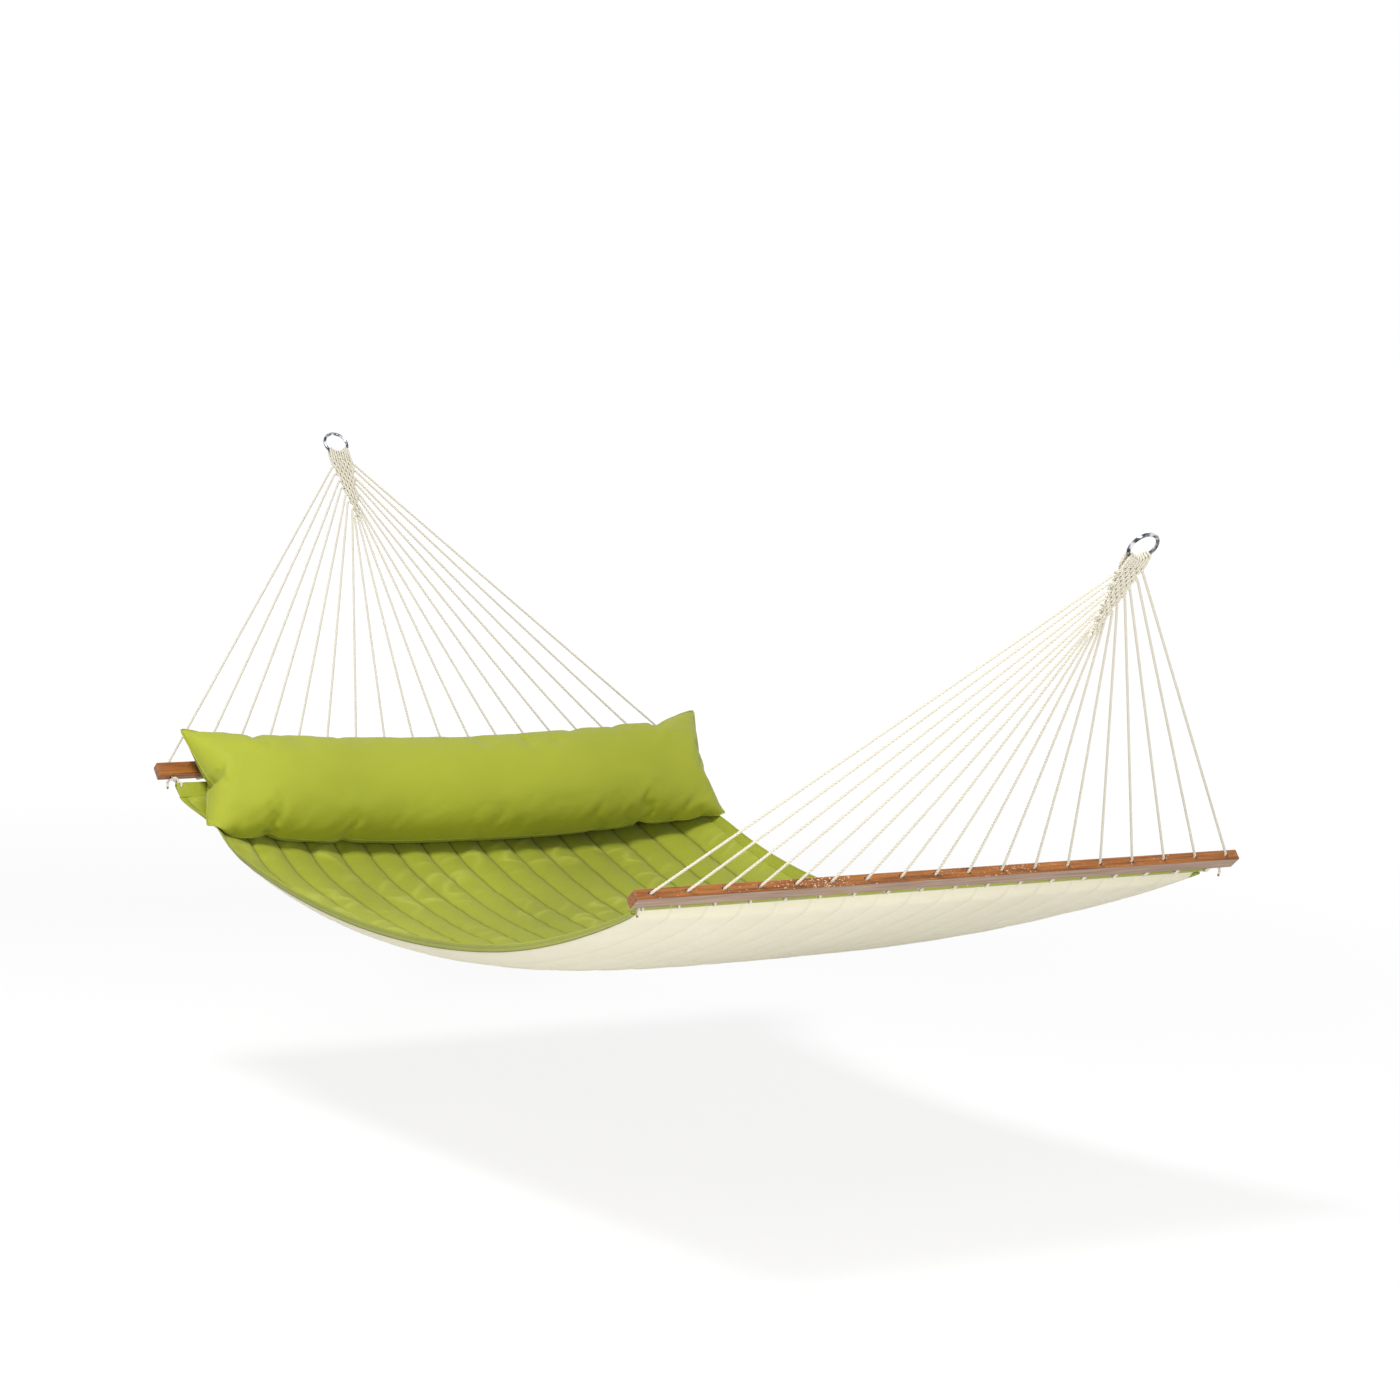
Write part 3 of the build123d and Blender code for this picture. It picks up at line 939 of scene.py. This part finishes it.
def pillow_panels():
    """Two flat panels sewn together round their edges, ready to be filled."""
    rows, columns = 141, 37
    points, index = [], {}
    faces = []
    for face_side in (1, -1):
        for i in range(rows):
            for j in range(columns):
                edge = i in (0, rows - 1) or j in (0, columns - 1)
                key = (i, j, 0 if edge else face_side)
                if key in index:
                    continue
                s, t = 2 * i / (rows - 1) - 1, 2 * j / (columns - 1) - 1
                crown = 0.0 if edge else PANEL_CROWN * (1 - s ** 8) * (1 - t ** 4)
                index[key] = len(points)
                width = PANEL_WIDTH * (1 - END_GATHER * s ** 4)
                points.append((s * PANEL_LENGTH / 2, t * width / 2, face_side * crown))
        for i in range(rows - 1):
            for j in range(columns - 1):
                ring = []
                for a, b in ((i, j), (i, j + 1), (i + 1, j + 1), (i + 1, j)):
                    edge = a in (0, rows - 1) or b in (0, columns - 1)
                    ring.append(index[(a, b, 0 if edge else face_side)])
                faces.append(tuple(ring[::-1]) if face_side > 0 else tuple(ring))
    rim = [(i, 0) for i in range(rows)]
    rim += [(rows - 1, j) for j in range(1, columns)]
    rim += [(i, columns - 1) for i in reversed(range(rows - 1))]
    rim += [(0, j) for j in reversed(range(1, columns - 1))]
    return np.array(points), faces, [index[(i, j, 0)] for i, j in rim]


def fill_pillow(piece):
    """Blows the sewn panels up as cloth and keeps the result as the mesh."""
    cloth = piece.modifiers.new("Cloth", "CLOTH")
    settings = cloth.settings
    settings.quality = 6
    settings.mass = 0.25
    settings.tension_stiffness = 25
    settings.compression_stiffness = 8
    settings.shear_stiffness = 4
    settings.bending_stiffness = 0.15
    settings.air_damping = 4
    settings.use_pressure = True
    settings.uniform_pressure_force = 5.0
    settings.effector_weights.gravity = 0
    cloth.collision_settings.use_collision = False
    scene = bpy.context.scene
    cloth.point_cache.frame_start, cloth.point_cache.frame_end = 1, SIM_STEPS
    for step in range(1, SIM_STEPS + 1):
        scene.frame_set(step)
    graph = bpy.context.evaluated_depsgraph_get()
    shaped = bpy.data.meshes.new_from_object(piece.evaluated_get(graph))
    co = np.zeros(len(shaped.vertices) * 3)
    shaped.vertices.foreach_get("co", co)
    piece.modifiers.remove(cloth)
    scene.frame_set(1)
    return co.reshape(-1, 3)


def crumple(flat, shaped):
    """Dents where the filling is held in, and wrinkles that run in from the long seams."""
    worn = shaped.copy()
    for k, (x, y, z) in enumerate(flat):
        if z == 0:
            continue
        t = 2 * y / PANEL_WIDTH
        face = math.copysign(9.0, z)
        ruffle = noise.noise(Vector((x * 30 + t * 3, t * 1.5, face))) * abs(t) ** 2.5
        hollow = noise.noise(Vector((x * 6, t * 2, face + 5)))
        fold = 1 - 6 * abs(noise.noise(Vector((x * 9 + t * 2, t * 2.2, face + 9))))
        near_seam = min(1.0, max(0.0, abs(t) - 0.25) * 2)
        dent = EDGE_DENT * ruffle + BROAD_DENT * hollow + FOLD_DENT * max(0.0, fold) * near_seam
        if z > 0:
            for along, across, depth, radius in DIMPLES:
                away = math.hypot(x - along, (t - across) * PANEL_WIDTH / 2)
                dent += depth * math.exp(-(away / radius) ** 2)
        worn[k, 2] -= math.copysign(dent, z)
    return worn


def place_pillow(shaped):
    """Leans the filled pillow on the head bar and lets its middle hang with the bed."""
    low, high = shaped.min(0), shaped.max(0)
    middle = (low + high) / 2
    shaped = shaped - middle
    size = high - low
    along = shaped[:, 0] * (PILLOW_LENGTH / size[0])
    near_middle = np.abs(shaped[:, 0]) < WAIST_REACH
    waist = np.abs(shaped[near_middle][:, 1]).max() * 2
    chord = shaped[:, 1] * (PILLOW_CHORD / waist)
    depth = shaped[:, 2] * (PILLOW_DEPTH / size[2]) + PILLOW_FORWARD
    share = along / (PILLOW_LENGTH / 2)
    lean = math.radians(PILLOW_LEAN)
    down_bed = np.array([math.cos(lean), 0, -math.sin(lean)])
    out = np.array([math.sin(lean), 0, math.cos(lean)])
    local = (np.outer(chord + PILLOW_CHORD / 2, down_bed) + np.outer(depth, out)
             + np.outer(along, ACROSS))
    local[:, 2] -= PILLOW_LOWER + PILLOW_DROOP * (1 - share ** 2)
    skew = math.radians(PILLOW_SKEW)
    turn = np.array([[math.cos(skew), -math.sin(skew), 0], [math.sin(skew), math.cos(skew), 0], [0, 0, 1]])
    joints = {j["name"]: j for j in frame["joints"]}
    seam = np.array(joints["pillow_lift"]["pos_m"])
    return local @ turn.T + seam + ACROSS * PILLOW_SHIFT


def settle_pillow(points):
    """Flattens the pillow where it lies on the bed and on the head cords."""
    start, end = head.quilt_edge[0], foot.quilt_edge[0]
    room = CORD_WIDTH / 2 + CORD_ROOM
    settled = points.copy()
    for k, (x, y, z) in enumerate(points):
        share = (x - start) / (end - start)
        if 0 < share < 1:
            settled[k, 2] = max(z, bed_height(share, y) + BED_ROOM)
        behind = (settled[k] - head.entry) @ head.front
        if behind < room:
            settled[k] += head.front * (room - behind)
    return settled


def make_pillow():
    points, faces, rim = pillow_panels()
    piece = add_mesh("pillow", points, faces, GREEN_PILLOW)
    shaped = fill_pillow(piece)
    final = settle_pillow(place_pillow(crumple(points, shaped)))
    piece.data.vertices.foreach_set("co", final.ravel())
    piece.data.update()
    smooth = piece.modifiers.new("Subdivision", "SUBSURF")
    smooth.levels = smooth.render_levels = 1
    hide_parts("pillow_cover", "pillow_filling")
    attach(piece, "pillow")
    make_piping(final[rim])


def make_piping(rim):
    """The sewn edge of the two panels, as a thin round ridge."""
    corners = 8
    line = rim + 0.25 * (np.roll(rim, 1, axis=0) + np.roll(rim, -1, axis=0) - 2 * rim)
    tangents = np.roll(line, -1, axis=0) - np.roll(line, 1, axis=0)
    tangents /= np.linalg.norm(tangents, axis=1)[:, None]
    inward = line.mean(0) - line
    side = np.cross(tangents, inward)
    side /= np.linalg.norm(side, axis=1)[:, None]
    out = np.cross(side, tangents)
    angles = np.arange(corners) / corners * 2 * math.pi
    points = [centre + PIPING / 2 * (math.cos(a) * u + math.sin(a) * v)
              for centre, u, v in zip(line, side, out) for a in angles]
    faces = grid_faces(len(line), corners, closed=True, looped=True)
    piece = add_mesh("pillow_seam", points, faces, GREEN_PILLOW)
    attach(piece, "pillow")


def strip(path, way, width, thickness):
    """A ribbon along a path, as the points and faces of one thin closed body."""
    path = np.asarray(path)
    section = ((-1, -1), (0, -1), (1, -1), (1, 1), (0, 1), (-1, 1))
    tangents = np.gradient(path, axis=0)
    normals = np.cross(tangents, way)
    normals /= np.linalg.norm(normals, axis=1)[:, None]
    points = []
    for place, normal in zip(path, normals):
        for across, rise in section:
            points.append(place + way * across * width / 2 + normal * rise * thickness / 2)
    faces = grid_faces(len(path), len(section), closed=True)
    return points, faces + end_caps(len(path), len(section))


def tie_bodies(middle):
    """A ribbon's loop round the head bar, its two loose ends and its knot behind the bar."""
    upright = np.cross(head.bore, ACROSS)
    behind = upright * -math.copysign(1, upright @ head.front)
    long, high = BAR_DEPTH / 2 + TIE_ROOM, BAR_HEIGHT / 2 + TIE_ROOM
    corners = [(0, 1), (1, 1), (1, -1), (-1, -1), (-1, 1)]
    loop = [middle + head.bore * u * long + behind * v * high for u, v in corners]
    loop.append(middle + head.bore * 0.1 * long + behind * (high + TIE_THICKNESS))
    bodies = [strip(rounded(loop, TIE_BEND), ACROSS, TIE_WIDTH, TIE_THICKNESS)]
    knot = middle + behind * (high + TIE_KNOT_OUT)
    for lean, drop in TIE_ENDS:
        way = np.array([0, math.cos(lean), math.sin(lean)])
        hang = np.array([0, math.sin(lean) * 0.7, -1.0])
        shares = np.linspace(0, 1, 9)
        tail = [knot + hang * drop * t + behind * TIE_BELLY * math.sin(2.6 * t) for t in shares]
        bodies.append(strip(tail, way, TIE_WIDTH * 0.8, TIE_THICKNESS))
    wrap = [knot + ACROSS * TIE_KNOT * math.cos(t) + behind * TIE_KNOT / 2 * math.sin(t)
            for t in np.linspace(0, 2 * math.pi, 13)]
    bodies.append(strip(wrap, head.bore, TIE_WIDTH * 0.6, TIE_THICKNESS * 2.2))
    return bodies


def make_tie(side):
    """One ribbon, at a hole about a third of the bar's length from its middle."""
    across = ACROSS * side * HOLE_PITCH * round(BAR_LENGTH / 3 / HOLE_PITCH)
    middle = head.entry + across - head.bore * BAR_DEPTH / 2
    points, faces = [], []
    for more, more_faces in tie_bodies(middle):
        faces += [tuple(len(points) + k for k in face) for face in more_faces]
        points += more
    name = "right" if side > 0 else "left"
    piece = add_mesh(f"pillow_ribbon_{name}", points, faces, GREEN_PILLOW)
    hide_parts(f"pillow_tie_{name}")
    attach(piece, "sling")


def paint_bars():
    for end in (head, foot):
        frame["nodes"][end.name + "_bar"].material_slots[0].material = wood_material(end)


def floor_material():
    """Pale paper that shows a faint shadow and turns to plain white with distance."""
    material, tree, shader = new_material("floor_paper")
    shader.inputs["Base Color"].default_value = (0.9, 0.9, 0.9, 1)
    shader.inputs["Roughness"].default_value = 0.9
    glow = tree.nodes.new("ShaderNodeEmission")
    glow.inputs["Color"].default_value = WHITE
    glow.inputs["Strength"].default_value = FLOOR_GLOW
    distance = tree.nodes.new("ShaderNodeVectorMath")
    distance.operation = "LENGTH"
    tree.links.new(mapped(tree), distance.inputs[0])
    past = maths(tree, "SUBTRACT", distance.outputs["Value"], FLOOR_NEAR)
    fade = tree.nodes.new("ShaderNodeClamp")
    tree.links.new(maths(tree, "MULTIPLY", past, 1 / FLOOR_SPREAD), fade.inputs[0])
    plain = maths(tree, "ADD", maths(tree, "MULTIPLY", fade.outputs[0], 1 - FLOOR_PLAIN), FLOOR_PLAIN)
    blend = tree.nodes.new("ShaderNodeMixShader")
    tree.links.new(maths(tree, "MULTIPLY", seen_directly(tree), plain), blend.inputs[0])
    tree.links.new(shader.outputs[0], blend.inputs[1])
    tree.links.new(glow.outputs[0], blend.inputs[2])
    output = next(n for n in tree.nodes if n.type == "OUTPUT_MATERIAL")
    tree.links.new(blend.outputs[0], output.inputs[0])
    return material


def make_floor():
    material = floor_material()
    size = FLOOR_REACH
    points = [(-size, -size, FLOOR_LEVEL), (size, -size, FLOOR_LEVEL),
              (size, size, FLOOR_LEVEL), (-size, size, FLOOR_LEVEL)]
    add_mesh("floor", points, [(0, 1, 2, 3)], material)


def make_world():
    """A soft even light all round, seen as plain white."""
    world = bpy.data.worlds.new("studio")
    bpy.context.scene.world = world
    world.use_nodes = True
    tree = world.node_tree
    tree.nodes.clear()
    output = tree.nodes.new("ShaderNodeOutputWorld")
    light, seen = (tree.nodes.new("ShaderNodeBackground") for _ in range(2))
    for background in (light, seen):
        background.inputs["Color"].default_value = WHITE
    light.inputs["Strength"].default_value = ROOM_LIGHT
    seen.inputs["Strength"].default_value = 1.0
    blend = tree.nodes.new("ShaderNodeMixShader")
    tree.links.new(seen_directly(tree), blend.inputs[0])
    tree.links.new(light.outputs[0], blend.inputs[1])
    tree.links.new(seen.outputs[0], blend.inputs[2])
    tree.links.new(blend.outputs[0], output.inputs[0])
    bpy.context.scene.view_settings.view_transform = "Standard"


def make_light(name, place, target, size, power):
    data = bpy.data.lights.new(name, "AREA")
    data.shape = "DISK"
    data.size = size
    data.energy = power
    lamp = bpy.data.objects.new(name, data)
    lamp.location = place
    lamp.rotation_mode = "QUATERNION"
    lamp.rotation_quaternion = (Vector(target) - Vector(place)).to_track_quat("-Z", "Y")
    bpy.context.scene.collection.objects.link(lamp)


def make_camera():
    yaw, fall, roll = CAMERA_YAW, CAMERA_FALL, CAMERA_ROLL
    ahead = Vector((math.cos(yaw) * math.cos(fall), math.sin(yaw) * math.cos(fall), -math.sin(fall)))
    level = Vector((math.sin(yaw), -math.cos(yaw), 0))
    above = level.cross(ahead)
    right = level * math.cos(roll) + above * math.sin(roll)
    up = above * math.cos(roll) - level * math.sin(roll)
    data = bpy.data.cameras.new("camera")
    data.sensor_width = 36.0
    data.lens = CAMERA_LENS
    data.clip_end = 200.0
    camera = bpy.data.objects.new("camera", data)
    place = Matrix((right, up, -ahead)).transposed().to_4x4()
    place.translation = Vector(CAMERA_PLACE)
    camera.matrix_world = place
    bpy.context.scene.collection.objects.link(camera)
    bpy.context.scene.camera = camera


make_camera()
make_world()
make_floor()
make_light("key", place=(3.0, -3.0, 4.5), target=(1.5, 0, -0.8), size=1.6, power=330)
make_light("fill", place=(7.5, -1.5, 0.2), target=(1.6, 0, -0.8), size=3.5, power=150)
paint_bars()
for hammock_end in (head, foot):
    make_ring(hammock_end)
    make_end_hem(hammock_end)
    for column_number, leaving_strands in weave_order().items():
        make_cord(hammock_end, column_number, leaving_strands)
make_quilt_top()
make_quilt_underside()
make_side_hem(-1)
make_side_hem(1)
make_pillow()
make_tie(-1)
make_tie(1)
